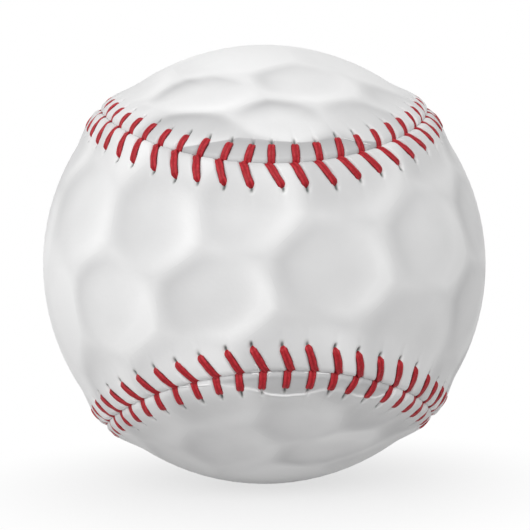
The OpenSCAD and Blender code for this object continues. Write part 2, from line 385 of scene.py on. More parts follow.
# Thread: plump flattened legs, rounded off where they dive into the needle holes. Lengths in mm
thread = {
    "halfWidth": 0.6,
    "halfThick": 0.38,
    "lift": 0.28,  # height of a leg's middle over the leather under it, at the seam
    "holeLift": 0.12,  # and at its hole
    "seamHeight": 0.12,  # height of a leg's middle over the ball, at the seam,
    "holeHeight": 0.5,  # at its hole,
    "arch": 0.42,  # and how far it arches over the line between
    "rings": 28,
    "ringCrowd": 0.6,  # the rings lie closer at both ends
    "around": 20,
    "tips": {1: -0.12, -1: -0.55},  # front legs end just over the seam line, back ones run on under them
    "tipSinkFrom": {1: 0.35, -1: 0.5},
    "tipSink": 0.3,
    "hook": 0.35,  # the front legs' tips bend forward
    "hookReach": (0.8, -0.1),
    "dive": 0.3,  # length that a leg runs on past its hole,
    "diveFrom": -0.45,  # and where it starts to dive
    "diveDepth": 1.15,
    "crossOver": 0.14,  # the front legs rise over the ends of the back ones
    "crossReach": (1.5, 0.5),
    "bow": 0.05,  # a leg bends sideways by this, more or less
    "bowUneven": 0.6,
    "holeGirth": 0.6,  # share of a leg's width at its hole,
    "fullGirth": (0.1, 1.0),  # and how far from its end it swells to the whole
    "tipRound": (0.4, 0.96),  # its ends are rounded off over this length, and how far they close
    "endRound": (0.25, 0.97),
    "uneven": 0.06,  # share that some legs are stouter than others,
    "swell": (0.05, 2.1, 3),  # and that one swells and narrows, with radians for each mm and of start
    "flatter": 0.8,  # how far its thickness follows its width
    "squareness": 0.88,  # 1 is a round section, and less is squarer
    "plies": 3,
    "plyRelief": 0.025,
    "plyTwist": 3.2,  # radians for each mm
    "groove": 0.11,  # between the two strands that show
    "grooveHalf": 0.2,  # as shares of the leg's half width
    "grooveAside": 0.12,
    "bulge": 0.02,  # of the very ends
    "streakShift": 10,  # so that no two legs are streaked alike
}

# Leather panels: pillows between the stitches, channels under the legs, pits at the needle holes. Lengths are
# in mm, and a pair is the stretch over which something changes
cover = {
    "columns": 16,  # to a stitch
    "insets": [0.015, 0.1, 0.22, 0.34, 0.5, 0.7, 0.9, 1.05, 1.3, 1.6, 1.9, 2.2, 2.5, 2.75, 3.0, 3.2, 3.4, 3.6,
               3.8, 4.0, 4.2, 4.4, 4.6, 4.85, 5.1, 5.4, 5.8, 6.3, 6.9, 7.6, 8.3, 9.0],
    "fieldShares": [0.07, 0.15, 0.24, 0.33, 0.43, 0.53, 0.63, 0.73, 0.82, 0.91],
    "fieldReach": 20,  # from the last inset to the panel's middle, roughly
    "innerShares": [0.25, 0.5, 0.75],
    "fleshInsets": [3.0, 6.0],
    "fleshFollow": 0.8,  # share of the outer height that the flesh side follows
    "edgeDrops": [-1.1, -0.5],  # rows down the cut edge
    "pillow": 1.05,  # the leather stands this proud between stitches
    "pillowRise": 0.95,  # from the crease to the pillow's top
    "pillowFall": (1.2, 7.8),  # and from there down to the plain ball
    "crease": 0.58,  # height of the panel's edge
    "legCrease": -0.1,  # and under the legs
    "bedRise": 0.75,  # from the crease to the bed that a leg lies in
    "bedEnd": (-0.2, 1.5),  # past the hole, where the bed comes up to the pillow
    "wall": (0.28, 0.85),  # from a leg's middle line, over which the leather rises beside it
    "narrowing": 1.2,  # of the bed past the hole
    "narrowReach": (-1.2, 1.2),
    "gather": 0.05,  # pull line beyond each needle hole
    "gatherReach": (0.8, 4.2),
    "pit": 0.5,  # depth of a needle hole
    "pitHalf": 0.2,
    "pitStart": (-0.15, 0.2),
    "pitEnd": (0.5, 1.1),
    "slits": (0.3, 1.0),  # least and most that a hole is pulled open into a slit, as a share
    # lips of the back panel that fold over at the two seams in front, grey inside their rims with painted
    # shade.
    # Each point of a rim is a stitch place, mm from the seam, and how much the rim's painted glint shows
    # there
    "lips": [
        {"rim": [(8.3, -0.5, 0), (8.7, 0.2, 0), (9.9, 1.9, 0), (10.7, 2.9, 0), (12.4, 3.1, 0), (13.8, 3.6, 0),
                 (14.6, 3.9, 0), (15.3, 3.9, 0), (16.4, 2.4, 0), (17.3, 0.9, 0), (18.3, -0.5, 0)],
         "inkAndLipShade": 0.95, "fade": -0.08},
        {"rim": [(64.1, -0.5, 0), (65.1, 1.2, 0), (66.1, 2.5, 0.5), (67, 3.9, 1), (67.7, 4.3, 1),
                 (68.6, 3.9, 0.7), (69.4, 2.8, 0.25), (70.3, 2.3, 0), (71.2, 3, 0.8), (72.2, 2.5, 1),
                 (72.9, 0.5, 0.2), (73.3, -0.5, 0)],
         "inkAndLipShade": 0.6, "fade": 0.06},
    ],
    "lipStep": 0.2,
    "lipStepEdge": (-0.1, 0.3),
    "lipStepFrom": (0.3, 1.2),
}
slitRows = np.random.default_rng(27).uniform(*cover["slits"], (2, ball["stitches"]))
slitShares = {1: slitRows[0], -1: slitRows[1]}
outsideLips = (-9.0, 0.0, 0.0)


def slitShare(side, column):
    return slitShares[side][np.round(column).astype(int) % ball["stitches"]]


def legHeight(inset, hole):
    # it arches from the seam to its hole
    share = np.clip(inset / hole, -0.2, 1)
    arch = thread["arch"] * np.sin(np.pi * np.maximum(share, 0))
    return mix(thread["seamHeight"], thread["holeHeight"], share) + arch


def lipSpot(side, column, inset):
    # mm inside a lip, from its rim towards the seam and below 0 outside it, with its painted shade and glint
    # there
    found = np.tile(outsideLips, (len(inset), 1))
    if side > 0:
        return found
    place = np.mod(legPlace(side, column, inset), ball["stitches"])
    for lip in cover["lips"]:
        places, reach, glint = np.transpose(lip["rim"])
        depth = np.interp(place, places, reach) - inset
        # painted shade: a lip's grey, darkest at its rim at the top seam and by the seam at the bottom one
        own = np.column_stack([depth, lip["inkAndLipShade"] + lip["fade"] * depth, np.interp(place, places, glint)])
        beside = (place > places[0]) & (place < places[-1])
        found[beside] = own[beside]
    return found


def leatherHeight(side, column, inset):
    # over the ball: the pillow with its lip, and across each leg the bed and the pit
    hole = holeInset(side, column)
    slant = math.atan2(holes[side]["trail"] - holes[side]["endTrail"], holes[side]["set"])
    off = np.abs(column - np.round(column)) * pitch * math.cos(slant)
    lump = offset(side, "pull", column - 0.5)
    rise = 1 - (1 - np.clip(inset / cover["pillowRise"], 0, 1)) ** 2
    fall = 1 - smoothStep(*cover["pillowFall"], inset)
    pillow = mix(cover["crease"], cover["pillow"] * (1 + lump) * fall, rise)
    inLip = smoothStep(*cover["lipStepEdge"], lipSpot(side, column, inset)[:, 0])
    pillow -= cover["lipStep"] * inLip * smoothStep(*cover["lipStepFrom"], inset)
    bedRise = 1 - (1 - np.clip(inset / cover["bedRise"], 0, 1)) ** 2
    sink = mix(thread["lift"], thread["holeLift"], np.clip(inset / hole, 0, 1) ** 2)
    bed = mix(cover["legCrease"], legHeight(inset, hole) - sink, bedRise)
    past = inset - hole
    gathered = pillow - cover["gather"] * (1 - smoothStep(*cover["gatherReach"], past))
    leg = mix(bed, gathered, smoothStep(*cover["bedEnd"], past))
    narrow = 1 + cover["narrowing"] * smoothStep(*cover["narrowReach"], past)
    inLeg = 1 - smoothStep(*cover["wall"], off * narrow)
    pit = np.exp(-(off / cover["pitHalf"]) ** 2) * smoothStep(*cover["pitStart"], past)
    pit *= 1 - smoothStep(*cover["pitEnd"], past)
    return mix(pillow, leg, inLeg) - cover["pit"] * slitShare(side, column) * pit


def joinRows(rows, spineIndex, side):
    # quads between rows. The first and the last row are folded together along the panel's middle line
    turn = np.arange(len(spineIndex))
    ahead = np.mod(turn + 1, len(turn))
    starts = np.concatenate([[0], np.cumsum([len(row) for row in rows])])
    faces = []
    for k in range(len(rows) - 1):
        low = starts[k] + (spineIndex if k == 0 else turn)
        high = starts[k + 1] + (spineIndex if k == len(rows) - 2 else turn)
        quad = [low, low[ahead], high[ahead], high] if side > 0 else [low, high, high[ahead], low[ahead]]
        faces += np.stack(quad, 1).tolist()
    return faces


def buildPanel(side):
    count = ball["stitches"] * cover["columns"]
    column = np.arange(count) / cover["columns"]
    mirror = np.mod(count * (3 if side > 0 else 5) // 4 - np.arange(count), count)
    keep, spineIndex = np.unique(np.minimum(np.arange(count), mirror), return_inverse=True)
    lastInset = cover["insets"][-1]
    hole = holeInset(side, column)

    def heightAt(inset):
        return leatherHeight(side, column, np.full(count, inset))

    def seamRow(inset, radius):
        every = np.full(count, float(inset))
        return panelDir(side, legPlace(side, column, every), every) * np.reshape(radius, (-1, 1))

    def fieldRow(share, radius):
        every = np.full(count, lastInset)
        place = mix(legPlace(side, column, every), column, share)
        return unit(mix(panelDir(side, place, every), spineDir(side, place), share)) * radius

    flesh, grain = ball["innerRadius"], ball["radius"]
    inner = [seamRow(ball["edge"], flesh)]
    for inset in cover["fleshInsets"] + [lastInset]:
        inner.append(seamRow(inset, flesh + cover["fleshFollow"] * np.maximum(0, heightAt(inset))))
    inner += [fieldRow(share, flesh) for share in cover["innerShares"]] + [fieldRow(1.0, flesh)[keep]]
    wall = [seamRow(ball["edge"], grain + drop) for drop in cover["edgeDrops"]]
    seam = [seamRow(inset, grain + heightAt(inset)) for inset in cover["insets"]]
    field = [fieldRow(share, grain) for share in cover["fieldShares"]] + [fieldRow(1.0, grain)[keep]]

    rows = inner[::-1] + wall + seam + field  # from the inner spine round the edge to the outer spine
    points = toFrame(np.concatenate(rows))
    outer = np.arange(len(points)) >= sum(len(row) for row in inner)
    points *= np.where(outer, 1 - ball["flatten"] * np.abs(unit(points)[:, 2]) ** 4, 1)[:, None]
    piece = newMesh("leather_panel_" + holes[side]["panel"], points, joinRows(rows, spineIndex, side))

    def overRows(values):
        return np.concatenate([v if len(row) == count else v[keep] for row, v in zip(rows, values)])

    insets = [ball["edge"]] * len(inner + wall) + cover["insets"]
    insets += [lastInset + cover["fieldReach"] * share for share in cover["fieldShares"] + [1.0]]
    phase = overRows([2 * np.pi * column] * len(rows))
    past = overRows([inset - hole for inset in insets])
    spots = latticeSpots(side, unit(points))
    middle, darker, lighter, turned, crisp = cellTones(side, spots).T
    turned = np.radians(turned)
    slits = overRows([slitShare(side, column)] * len(rows))
    setVectors(piece, "seamSpot", np.column_stack([np.cos(phase), np.sin(phase), past]))
    setVectors(piece, "printSpot", np.column_stack([spots, middle]))
    setVectors(piece, "printTurn", np.column_stack([np.cos(turned), np.sin(turned), crisp]))
    setVectors(piece, "printShade", np.column_stack([darker, lighter, slits]))
    setVectors(piece, "lipSpot", overRows([lipSpot(side, column, np.full(count, inset)) for inset in insets]))
    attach(piece, "root")
    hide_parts("cover_panel_" + holes[side]["panel"])
    return piece


panels = [buildPanel(side) for side in (1, -1)]
print("leather: 2 panels,", sum(len(p.data.polygons) for p in panels), "faces")


def legLine(side, stitch, jitter):
    # middle line of a leg from its hole to the seam, and the way out from the ball along it
    share = np.linspace(0, 1, thread["rings"])
    share = mix(share, smoothStep(0, 1, share), thread["ringCrowd"])
    column = np.full(len(share), float(stitch))
    hole = holeInset(side, column)
    tip = thread["tips"][side]
    inset = mix(hole + thread["dive"], tip, share)
    place = legPlace(side, column, inset)
    bend = thread["bow"] * (1 + thread["bowUneven"] * jitter) * np.sin(np.pi * share)
    height = legHeight(np.minimum(inset, hole), hole)
    height -= thread["diveDepth"] * smoothStep(thread["diveFrom"], thread["dive"], inset - hole)
    if side > 0:
        bend += thread["hook"] * smoothStep(*thread["hookReach"], inset)
        height += thread["crossOver"] * smoothStep(*thread["crossReach"], inset)
    height -= thread["tipSink"] * smoothStep(thread["tipSinkFrom"][side], tip, inset)
    outward = toFrame(panelDir(side, place + bend / pitch, inset))
    flat = ball["radius"] * (1 - ball["flatten"] * np.abs(outward[:, 2]) ** 4)
    return outward * (flat + height)[:, None], outward


def legGirth(run, jitter):
    # half width and half thickness along a leg: it swells from its hole, and both ends are rounded off
    taper = mix(thread["holeGirth"], 1, smoothStep(*thread["fullGirth"], run))
    for reach, (length, closing) in ((run[-1] - run, thread["tipRound"]), (run, thread["endRound"])):
        taper *= np.sqrt(1 - (1 - np.clip(reach / length, 0, 1)) ** 2 * closing)
    share, turn, start = thread["swell"]
    swell = 1 + thread["uneven"] * jitter[1] + share * np.sin(run * turn + start * jitter[2])
    return thread["halfWidth"] * taper * swell, thread["halfThick"] * mix(1, taper, thread["flatter"]), taper


def buildLeg(side, stitch, jitter):
    # a leg's points, its faces, and for each point its place round the leg and along it
    rings, around = thread["rings"], thread["around"]
    spine, outward = legLine(side, stitch, jitter[0])
    along = unit(np.gradient(spine, axis=0))
    up = unit(outward - along * (outward * along).sum(1, keepdims=True))
    across = np.cross(along, up)
    run = np.concatenate([[0], np.cumsum(np.linalg.norm(np.diff(spine, axis=0), axis=1))])
    wide, thick, taper = legGirth(run, jitter)
    angle = np.arange(around) / around * 2 * np.pi
    aside, above = np.cos(angle), np.sin(angle)
    x = wide[:, None] * np.sign(aside) * np.abs(aside) ** thread["squareness"]
    y = thick[:, None] * np.sign(above) * np.abs(above) ** thread["squareness"]
    twist = thread["plies"] * angle[None] + run[:, None] * thread["plyTwist"]
    plies = 1 + thread["plyRelief"] * np.cos(twist) * taper[:, None]
    beside = (x / wide[:, None] - thread["grooveAside"] * jitter[2]) / thread["grooveHalf"]
    groove = thread["groove"] * np.exp(-beside ** 2) * (above > 0)
    x, y = x * plies, y * plies - groove * taper[:, None]
    body = spine[:, None] + x[..., None] * across[:, None] + y[..., None] * up[:, None]
    ends = np.stack([spine[0] - along[0] * thread["bulge"], spine[-1] + along[-1] * thread["bulge"]])

    corner = np.arange(around)
    ahead = (corner + 1) % around
    faces = []
    for low in range(0, (rings - 1) * around, around):
        high = low + around
        faces += np.stack([low + corner, high + corner, high + ahead, low + ahead], 1).tolist()
    start, end, last = rings * around, rings * around + 1, (rings - 1) * around
    for here, there in zip(corner.tolist(), ahead.tolist()):
        faces += [[start, here, there], [end, last + there, last + here]]
    length = run + thread["streakShift"] * stitch
    lay = [np.tile(aside, (rings, 1)), np.tile(above, (rings, 1)), np.tile(length[:, None], (1, around))]
    lay = np.concatenate([np.stack(lay, -1).reshape(-1, 3), [[0, 1, length[0]], [0, 1, length[-1]]]])
    return np.concatenate([body.reshape(-1, 3), ends]), faces, lay


def buildThread(first, name):
    points, faces, strand = [], [], []
    for stitch in range(ball["stitches"]):
        side = 1 if (stitch + first) % 2 == 0 else -1
        legPoints, legFaces, lay = buildLeg(side, stitch, rng.uniform(-1, 1, 3))
        base = stitch * len(legPoints)
        points.append(legPoints)
        faces += [[base + corner for corner in face] for face in legFaces]
        strand.append(lay)
    piece = newMesh("sewn_" + name, np.concatenate(points), faces)
    setVectors(piece, "strand", np.concatenate(strand))
    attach(piece, "root")
    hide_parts(name)
    return piece


threads = [buildThread(0, "first_needle_thread"), buildThread(1, "second_needle_thread")]
print("thread:", ball["stitches"] * 2, "legs,", sum(len(p.data.polygons) for p in threads), "faces")


# Alum-tanned cowhide, finished white and printed grey: smooth, slightly satin, fine-grained. Lengths in mm
leatherLook = {
    "white": "#F7F7F7",
    "print": "#B0B0B1",
    "roundness": 0.45,  # of the printed cells, from hexagons to circles
    # a dish's steepness and where its rim begins and ends, each with what crispness adds to it
    "steepness": (0.6, 2.0),
    "rimFrom": (0.62, 0.23),
    "rimTo": (1.1, -0.1),
    "mottleScale": 260.0,
    "mottleTones": (0.3, 0.7),
    "mottle": 0.023,  # uneven ink
    "lipRim": 0.12,  # half width of the crisp edge where a lip's painted shade ends
    "rimGlint": 0.38,  # reach of the painted glint to each side of a lip's rim
    # painted shade in the needle holes
    "holeShade": "#6A716E",
    "slitAcross": (0.27, 0.06),  # from a leg's middle line
    "slitStart": (-0.3, 0.1),  # past the needle hole
    "slitEnd": (0.55, -0.25),  # past the slit's length
    "slitLength": 0.9,  # of the longest
    "legLean": 0.9,  # legs lie closer than they are spaced along the seam, as they lean
    # each wrinkle's start, top and end, and its width: a low ridge with a painted glint along it
    "glintedRidges": [[(9.7, -31.6, 18.5), (11.7, -31.2, 18.1), (14.0, -30.6, 17.6), 0.15],
                 [(-14.8, -30.2, -17.2), (-12.5, -31.3, -17.0), (-10.1, -32.3, -16.8), 0.22],
                 [(-4.4, -34.4, -14.9), (-2.8, -34.7, -14.6), (-1.4, -34.8, -14.6), 0.22],
                 [(3.4, -34.5, -15.1), (5.3, -34.1, -15.3), (7.2, -33.7, -15.5), 0.22]],
    "wrinkleFade": (1.1, 0.8),  # shares of a wrinkle's half length
    "wrinkleHeight": 0.12,
    # painted highlight along the wrinkles and the lips' rims
    "paintedGlintWhite": "#FFFFFF",
    "roughness": 0.5,
    "ior": 1.5,
    "grainSize": 0.55,  # hair follicles are finer and wouldn't show
    "fineScale": 900.0,
    "grainBump": 0.05,
    "grainDepth": 0.2,
}


def printedCowhide(look):
    material, add, shader = newMaterial("printed_white_cowhide")
    names = ("printSpot", "printTurn", "printShade", "seamSpot", "lipSpot")
    printed, turn, given, seam, lip = (add("Attribute", attribute_name=name, out="Vector") for name in names)
    given, seam, lip = (add("SeparateXYZ", [value], out=None).outputs for value in (given, seam, lip))
    middle, crisp = (add("SeparateXYZ", [value], out="Z") for value in (printed, turn))
    spot, direction = (add("VectorMath", [value, (1, 1, 0)], "MULTIPLY") for value in (printed, turn))
    # the honeycomb's cells are two sets of oblongs, and each point belongs to the nearer middle
    tall = math.sqrt(3) / 2
    corners = [(0.5, tall, 0.5), (-0.5, -tall, -0.5)]
    evenCell = add("VectorMath", [spot, *corners], "WRAP")
    shifted = add("VectorMath", [spot, (0.5, tall, 0)], "SUBTRACT")
    oddCell = add("VectorMath", [shifted, *corners], "WRAP")
    evenReach = add("VectorMath", [evenCell], "LENGTH", out="Value")
    oddReach = add("VectorMath", [oddCell], "LENGTH", out="Value")
    isEven = add("Math", [evenReach, oddReach], "LESS_THAN")
    inCell = add("Mix", {"Factor": isEven, 4: oddCell, 5: evenCell}, data_type="VECTOR", out=1)
    # distance to the cell's edge, 1 at the edge, between a hexagon and a circle
    edge = None
    for way in ((2, 0, 0), (1, math.sqrt(3), 0), (1, -math.sqrt(3), 0)):
        reach = add("VectorMath", [inCell, way], "DOT_PRODUCT", out="Value")
        reach = add("Math", [reach], "ABSOLUTE")
        edge = reach if edge is None else add("Math", [edge, reach], "MAXIMUM")
    radial = add("VectorMath", [inCell], "LENGTH", out="Value")
    radial = add("Math", [radial, 2.0], "MULTIPLY")
    edge = add("Mix", {"Factor": look["roundness"], 2: edge, 3: radial})
    # how far the point lies towards the dark side of its dish, from -1 to 1
    toDark = add("VectorMath", [inCell, direction], "DOT_PRODUCT", out="Value")
    toDark = add("Math", [toDark, 2.0], "MULTIPLY")
    darkSide = add("Math", [toDark, 0.0], "MAXIMUM")
    lightSide = add("Math", [toDark, 0.0], "MINIMUM")
    # the dish is flat in its middle, steepest near its rim, and level again on the ridge
    power, rimFrom, rimTo = (add("Math", [crisp, more, plain], "MULTIPLY_ADD")
                             for plain, more in (look["steepness"], look["rimFrom"], look["rimTo"]))
    rise = add("Math", [edge, power], "POWER")
    rim = add("MapRange", [edge, rimTo, rimFrom], **smooth)
    slope = add("Math", [rise, rim], "MULTIPLY")
    darker = add("Math", [darkSide, given["X"]], "MULTIPLY")
    shade = add("Math", [lightSide, given["Y"], darker], "MULTIPLY_ADD")
    inkAndLipShade = add("Math", [shade, slope, middle], "MULTIPLY_ADD")
    coords = add("TexCoord", out="Object")
    mottle = add("TexNoise", {"Vector": coords, "Scale": look["mottleScale"], "Detail": 4.0})
    mottle = add("MapRange", [mottle, *look["mottleTones"], -look["mottle"], look["mottle"]])
    inkAndLipShade = add("Math", [inkAndLipShade, mottle], "ADD", use_clamp=True)
    # painted shade: the lips that fold over are grey inside their crisp rims
    inLip = add("MapRange", [lip["X"], -look["lipRim"], look["lipRim"]], **smooth)
    inkAndLipShade = add("Mix", {"Factor": inLip, 2: inkAndLipShade, 3: lip["Y"]})
    tint = add("Mix", {"Factor": inkAndLipShade, 6: look["white"], 7: look["print"]}, **colours)
    # painted shade in the needle's slit beyond each leg, with the pull line that fades from it
    off = add("Math", [seam["Y"], seam["X"]], "ARCTAN2")
    off = add("Math", [off], "ABSOLUTE")
    off = add("Math", [off, pitch / (2 * math.pi) * look["legLean"]], "MULTIPLY")
    holeShade = add("MapRange", [off, *look["slitAcross"]], **smooth)
    begun = add("MapRange", [seam["Z"], *look["slitStart"]])
    over = add("Math", [given["Z"], -look["slitLength"], seam["Z"]], "MULTIPLY_ADD")
    ended = add("MapRange", [over, *look["slitEnd"]], **smooth)
    for part in (begun, ended):
        holeShade = add("Math", [holeShade, part], "MULTIPLY")
    tint = add("Mix", {"Factor": holeShade, 6: tint, 7: look["holeShade"]}, **colours)
    # painted highlight: a lip's rim glints white, and so does a wrinkle, along a low ridge. It runs where the
    # plane of its points cuts the leather
    atRim = add("Math", [lip["X"]], "ABSOLUTE")
    atRim = add("MapRange", [atRim, look["rimGlint"], 0.0], **smooth)
    # painted highlight: where a lip's rim glints
    glintAndRidge = add("Math", [atRim, lip["Z"]], "MULTIPLY")
    for start, top, end, width in look["glintedRidges"]:
        start, top, end = (Vector(point) * mm for point in (start, top, end))
        normal = (top - start).cross(end - start).normalized()
        height = add("VectorMath", [coords, normal], "DOT_PRODUCT", out="Value")
        beside = add("Math", [height, normal.dot(top)], "SUBTRACT")
        beside = add("Math", [beside], "ABSOLUTE")
        line = add("MapRange", [beside, width * mm, 0.0], **smooth)
        away = add("VectorMath", [coords, (start + end) / 2], "DISTANCE", out="Value")
        fade = [(end - start).length / 2 * share for share in look["wrinkleFade"]]
        within = add("MapRange", [away, *fade], **smooth)
        glintAndRidge = add("Math", [line, within, glintAndRidge], "MULTIPLY_ADD")
    # painted highlight mixed into the leather's colour
    tint = add("Mix", {"Factor": glintAndRidge, 6: tint, 7: look["paintedGlintWhite"]}, **colours)
    grain = add("TexVoronoi", {"Vector": coords, "Scale": 1 / (look["grainSize"] * mm)}, feature="SMOOTH_F1")
    fine = add("TexNoise", {"Vector": coords, "Scale": look["fineScale"], "Detail": 5.0})
    relief = add("Math", [grain, fine], "ADD")
    ridge = add("Bump", {"Strength": 1.0, "Distance": look["wrinkleHeight"] * mm, "Height": glintAndRidge})
    bump = add("Bump", {"Strength": look["grainBump"], "Distance": look["grainDepth"] * mm, "Height": relief,
                        "Normal": ridge})
    connect(shader, {"Base Color": tint, "Roughness": look["roughness"], "IOR": look["ior"], "Normal": bump})
    return material


leatherMaterial = printedCowhide(leatherLook)
for panel in panels:
    panel.data.materials.append(leatherMaterial)
print("leather: printed cowhide")

# Waxed cotton thread, dyed red: satin, with two plies side by side, and painted shade in the groove between
# them and low on its sides where it lies in the leather. The groove and the side are told by how far across
# and how far up the thread a point is, from -1 to 1
threadLook = {
    "body": "#B41B27",
    "light": "#D63D48",
    "deep": "#90101B",
    "streakStretch": (2.6, 2.6, 0.8),
    "streakScale": 1.6,
    "streakTones": (0.35, 0.68),
    "evenness": 0.35,  # how far the body's own red evens out the streaks
    "groove": "#98101B",  # painted shade: between the plies the red is deeper
    "grooveAcross": (0.04, 0.36),
    "grooveShadeShare": 0.8,
    # painted shade low on the thread's sides, where it lies in the leather
    "side": "#4E0D14",
    "sideUp": (0.75, 0.25),
    "sideShadeShare": 0.85,
    "roughness": 0.45,
    "ior": 1.45,
    "specular": 0.28,  # the fibres under the wax break up its gloss
    "fibrePitch": 0.55,  # mm along the thread
    "fibreRelief": 0.35,  # against that of the streaks
    "bump": 0.35,
    "bumpDepth": 0.1,  # mm
}


def waxedCotton(look):
    material, add, shader = newMaterial("waxed_red_cotton_thread")
    lay = add("Attribute", attribute_name="strand", out="Vector")
    parts = add("SeparateXYZ", [lay], out=None).outputs
    stretched = add("VectorMath", [lay, look["streakStretch"]], "MULTIPLY")
    streak = add("TexNoise", {"Vector": stretched, "Scale": look["streakScale"], "Detail": 3.0})
    streak = add("MapRange", [streak, *look["streakTones"]])
    across = add("Math", [parts["X"]], "ABSOLUTE")
    # painted shade in the groove and low on the sides
    middle = add("MapRange", [across, *look["grooveAcross"], look["grooveShadeShare"], 0.0], **smooth)
    edge = add("MapRange", [parts["Y"], *look["sideUp"], 0.0, look["sideShadeShare"]], **smooth)
    tint = look["deep"]
    for share, colour in ((streak, "light"), (look["evenness"], "body"), (middle, "groove"), (edge, "side")):
        tint = add("Mix", {"Factor": share, 6: tint, 7: look[colour]}, **colours)
    angle = add("Math", [parts["Y"], parts["X"]], "ARCTAN2")
    turns = add("Math", [parts["Z"], 2 * math.pi / look["fibrePitch"], angle], "MULTIPLY_ADD")
    fibre = add("Math", [turns], "SINE")
    relief = add("Math", [fibre, look["fibreRelief"], streak], "MULTIPLY_ADD")
    inputs = {"Base Color": tint, "Specular IOR Level": look["specular"]}
    return closeMaterial(material, add, shader, look, relief, inputs)


threadMaterial = waxedCotton(threadLook)
for piece in threads:
    piece.data.materials.append(threadMaterial)
print("thread: waxed cotton")


def coverNodes(material, names):
    for name in names:
        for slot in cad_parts[name].material_slots:
            slot.material = material


# Cork granules pressed with a rubber binder: warm brown grains of mixed tone in a dark web, dull all over.
# Sizes and depths are in mm
corkLook = {
    "grains": ["#6B4526", "#93683D", "#C39A66"],
    "binder": "#2B1E16",
    "grainSize": 1.6,
    "waverScale": 900.0,
    "waver": 0.4,  # of the grains' outlines
    "web": 0.07,  # width of the binder between grains, as a share of a grain
    "poreScale": 4200.0,
    "poreTones": (0.55, 0.72),
    "poreShare": 0.6,
    "roughness": 0.88,
    "ior": 1.45,
    "bump": 0.5,
    "bumpDepth": 0.1,
}


def mouldedCork(look):
    material, add, shader = newMaterial("moulded_cork_and_rubber")
    coords = add("TexCoord", out="Object")
    wander = add("TexNoise", {"Vector": coords, "Scale": look["waverScale"], "Detail": 2.0}, out="Color")
    warped = add("VectorMath", [wander, (look["waver"] * mm,) * 3, coords], "MULTIPLY_ADD")
    grains = {"Vector": warped, "Scale": 1 / (look["grainSize"] * mm)}
    pick = add("SeparateColor", [add("TexVoronoi", grains, out="Color")], out=None).outputs
    gap = add("TexVoronoi", grains, feature="DISTANCE_TO_EDGE")
    pores = add("TexNoise", {"Vector": coords, "Scale": look["poreScale"], "Detail": 4.0})
    pores = add("MapRange", [pores, *look["poreTones"], 0.0, look["poreShare"]])
    inGrain = add("MapRange", [gap, look["web"] / 2, look["web"]])
    tint, middle, high = look["grains"]
    for share, colour in ((pick[0], middle), (pick[1], high), (pores, look["binder"])):
        tint = add("Mix", {"Factor": share, 6: tint, 7: colour}, **colours)
    tint = add("Mix", {"Factor": inGrain, 6: look["binder"], 7: tint}, **colours)
    height = add("Math", [inGrain, pores], "SUBTRACT")
    return closeMaterial(material, add, shader, look, height, {"Base Color": tint})


# Vulcanised rubber: dull, with the mould's fine blasted grain and a little bloom, or with the roller lines of
# cut sheet. Sizes and depths are in mm
rubberLooks = {
    "moulded_black_rubber": {"body": "#1D1D1F", "bloom": "#3A3A3C", "rollerLines": 0.0, "roughness": 0.62,
                             "nodes": ["black_cup_front", "black_cup_back"]},
    "moulded_red_rubber": {"body": "#8E2218", "bloom": "#A84436", "rollerLines": 0.0, "roughness": 0.6,
                           "nodes": ["red_cup_left", "red_cup_right"]},
    "cut_red_sheet_rubber": {"body": "#A02A1E", "bloom": "#B8503F", "rollerLines": 0.5, "roughness": 0.66,
                             "nodes": ["gasket_ring"]},
}
rubberShared = {
    "ior": 1.52,
    "mouldGrain": 0.25,
    "bloomSize": 5.0,
    "bloomTones": (0.42, 0.75),
    "bloomShare": 0.7,
    "bloomDulls": 0.2,  # roughness that full bloom adds
    "linePitch": 0.3,
    "waveLength": 0.314,  # from line to line of a wave texture at a scale of 1
    "bump": 0.3,
    "bumpDepth": 0.04,
}


def curedRubber(name, look):
    material, add, shader = newMaterial(name)
    coords = add("TexCoord", out="Object")
    bloom = add("TexNoise", {"Vector": coords, "Scale": 1 / (look["bloomSize"] * mm), "Detail": 5.0,
                             "Roughness": 0.65})
    bloom = add("MapRange", [bloom, *look["bloomTones"], 0.0, look["bloomShare"]])
    tint = add("Mix", {"Factor": bloom, 6: look["body"], 7: look["bloom"]}, **colours)
    grain = add("TexNoise", {"Vector": coords, "Scale": 1 / (look["mouldGrain"] * mm), "Detail": 3.0})
    scale = look["waveLength"] / (look["linePitch"] * mm)
    lines = add("TexWave", {"Vector": coords, "Scale": scale, "Distortion": 1.5, "Detail": 2.0}, out="Fac")
    height = add("Math", [lines, look["rollerLines"], grain], "MULTIPLY_ADD")
    dullest = look["roughness"] + look["bloomDulls"]
    rough = add("MapRange", [bloom, 0.0, look["bloomShare"], look["roughness"], dullest])
    return closeMaterial(material, add, shader, look, height, {"Base Color": tint, "Roughness": rough})


